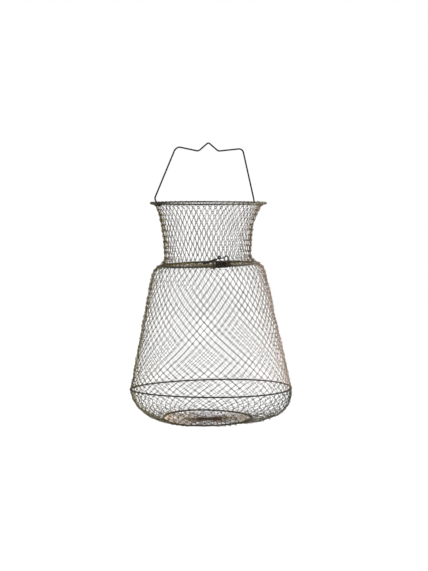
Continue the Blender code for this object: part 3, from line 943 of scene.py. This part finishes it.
side = discSide(base["radius"], baseGather["radius"], baseNet["sag"])
reach = rowsAlong(side, baseNet["rows"], 0, side.length)   # spaced like the other nets' meshes
woven, _ = weave("base_netting", side, within(base), reach, turn,
                 (base["wire"], baseGather["wire"]), look=baseNet)
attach(woven, "base")
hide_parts("base_net")
print("base woven")


# trap door: a hoop with an eye round the throat ring at each end, and its own netting

door = {
    "wire": 0.0012,
    "rimGap": 0.0013,
    "drop": 0.0015,
    "sag": 0.0010,
    "eyeHalfWidth": 0.0046,
    "eyeHeight": 0.0095,
    "eyeTop": 0.85,           # its width at the top, under the ring and past its middle, as shares
    "eyeFoot": 0.55,
    "eyeTip": 0.15,
    "eyeBend": 0.0030,
    "gap": 0.0003,
    "steps": 180,
}
doorNet = {"cells": 28, "rows": 4, "wire": 0.00040, "start": 0.5, "finish": "door_netting"}
doorRadius = throat["radius"] - throat["wire"] - door["rimGap"] - door["wire"]
hingePlace = (throat["place"] @ Matrix.Rotation(hinge["towards"] + pi / 2, 4, "Z")
              @ Matrix.Translation((0, -throat["radius"], 0)))   # X along the hinge, Y inwards


def ringInset(along):
    return throat["radius"] - sqrt(throat["radius"] ** 2 - along ** 2)


def doorEye(along):
    middle = ringInset(along)
    under = throat["wire"] + door["gap"] + door["wire"]
    width = door["eyeHalfWidth"]
    outline = [
        (middle + width, door["drop"]),
        (middle + width * door["eyeTop"], door["eyeHeight"]),
        (middle - width * door["eyeTop"], door["eyeHeight"]),
        (middle - width, 0),
        (middle - width * door["eyeFoot"], -under),
        (middle + width * door["eyeTip"], -under),
    ]
    return [hingePlace @ Vector((along, inward, up)) for inward, up in outline]


def addDoorHoop():
    half = asin(hinge["halfSpan"] / doorRadius)
    hoop = []
    for step in range(door["steps"] + 1):
        angle = hinge["towards"] + half + (2 * pi - 2 * half) * step / door["steps"]
        hoop.append(onRing(throat, angle, doorRadius, -door["drop"]))
    right = rounded(hoop[:1] + doorEye(hinge["halfSpan"]), door["eyeBend"])
    left = rounded(hoop[-1:] + doorEye(-hinge["halfSpan"]), door["eyeBend"])
    wire = bendWire("door_hoop", [right[:0:-1] + hoop + left[1:]], door["wire"], "door_wire", sides=4)
    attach(wire, "door")
    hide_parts("door_frame")


addDoorHoop()
side = discSide(doorRadius, doorGather["radius"], door["sag"])
reach = rowsAlong(side, doorNet["rows"], 0, side.length, doorNet["cells"])
woven, _ = weave("door_netting", side, within(throat, -door["drop"]), reach, doorNet["start"],
                 (door["wire"], doorGather["wire"]), look=doorNet,
                 aside=lambda angle, far: pushedFrom(angle, hinge["towards"], throat, hinge, far))
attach(woven, "door")
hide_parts("door_net")
print("door made")


# door spring: a coil round the throat ring, a knotted tail above it and an arm under the door

spring = {
    "wire": 0.0012,
    "radius": 0.0060,
    "turns": 6.5,
    "length": 0.0264,
    "steps": 24,              # in a turn
    "arm": 0.0300,
    "tail": 0.0350,
    "tailHeight": 0.0080,
    "tailRise": 1.5,          # how much higher the tail is halfway
    "tailLean": 0.6,          # how far it leans inwards, and its end, in coil radii
    "endLean": 0.7,
    "crest": 0.0200,
    "crestFoot": 0.06,        # where the wire leaves the knot and where it is highest, in coil lengths
    "crestPeak": 0.50,
    "knotPlace": 0.0040,
    "knotRadius": 0.0024,
    "knotTurns": 2,
    "bend": 0.0030,
    "gap": 0.0003,
    "netDepth": 0.0028,
}


def springCoil():
    half = spring["length"] / 2
    inset = ringInset(half) / 2
    lift = spring["radius"] - throat["wire"] - spring["gap"] * 1.5 - spring["wire"]
    steps = spring["steps"]
    last = int(spring["turns"] * steps)
    coil = []
    for step in range(last + 1):
        angle = 2 * pi * step / steps
        coil.append(Vector((half - spring["length"] * step / last, inset - spring["radius"] * sin(angle),
                            lift + spring["radius"] * cos(angle))))
    under = door["drop"] + spring["netDepth"] / 2 + spring["gap"] + spring["wire"]
    arm = [coil[-1], Vector((-half, spring["radius"], -under)),
           Vector((-half, spring["arm"], -under - door["sag"]))]
    return coil[:-1] + rounded(arm, spring["bend"])


def springTail(coilStart):
    # out along the neck, back on itself, twice round in the knot and over the coil to its end
    half = spring["length"] / 2
    wire, lean = spring["wire"], spring["radius"] * spring["tailLean"]
    knotHeight = spring["crest"] - 2 * wire
    beside = 2 * wire + spring["gap"]
    end = Vector((-spring["tail"], ringInset(spring["tail"]) + spring["radius"] * spring["endLean"],
                  spring["tailHeight"]))
    middle = Vector((-spring["tail"] / 2, lean, spring["tailHeight"] * spring["tailRise"]))
    start = Vector((-spring["knotPlace"] - beside, lean, knotHeight - beside))
    knot = []
    for step in range(spring["knotTurns"] * spring["steps"] + 1):
        angle = -pi / 2 + 2 * pi * step / spring["steps"]
        knot.append(Vector((-spring["knotPlace"] + spring["knotRadius"] * cos(angle),
                            lean - beside * step / spring["steps"],
                            knotHeight + spring["knotRadius"] * sin(angle))))
    tail = [start, middle - Vector((0, 0, beside)), end - Vector((0, 0, beside)), end, middle]
    crest = [
        knot[-1],
        Vector((spring["length"] * spring["crestFoot"], lean * 0.5, knotHeight - spring["knotRadius"])),
        Vector((spring["length"] * spring["crestPeak"], lean * 0.5, spring["crest"])),
        Vector((half + wire * 1.2, lean * 0.4, spring["crest"] * 0.75)),
        Vector((half + wire * 0.8, ringInset(half) / 2 + 2 * wire, coilStart.z + 2 * wire)),
        coilStart,
    ]
    return (rounded(tail + knot[:1], spring["bend"])[:-1] + knot[:-1]
            + rounded(crest, spring["bend"]))


def addSpring():
    coil = springCoil()
    wound = bendWire("door_spring_coil", [[hingePlace @ spot for spot in coil]], spring["wire"],
                     "spring_wire", sides=3)
    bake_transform(wound)
    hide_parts("door_spring")
    tail = bendWire("door_spring_tail", [[hingePlace @ spot for spot in springTail(coil[0])]],
                    spring["wire"], "spring_wire", sides=3)
    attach(tail, "throat")


addSpring()
print("spring wound")

bpy.context.scene.view_settings.view_transform = "Standard"
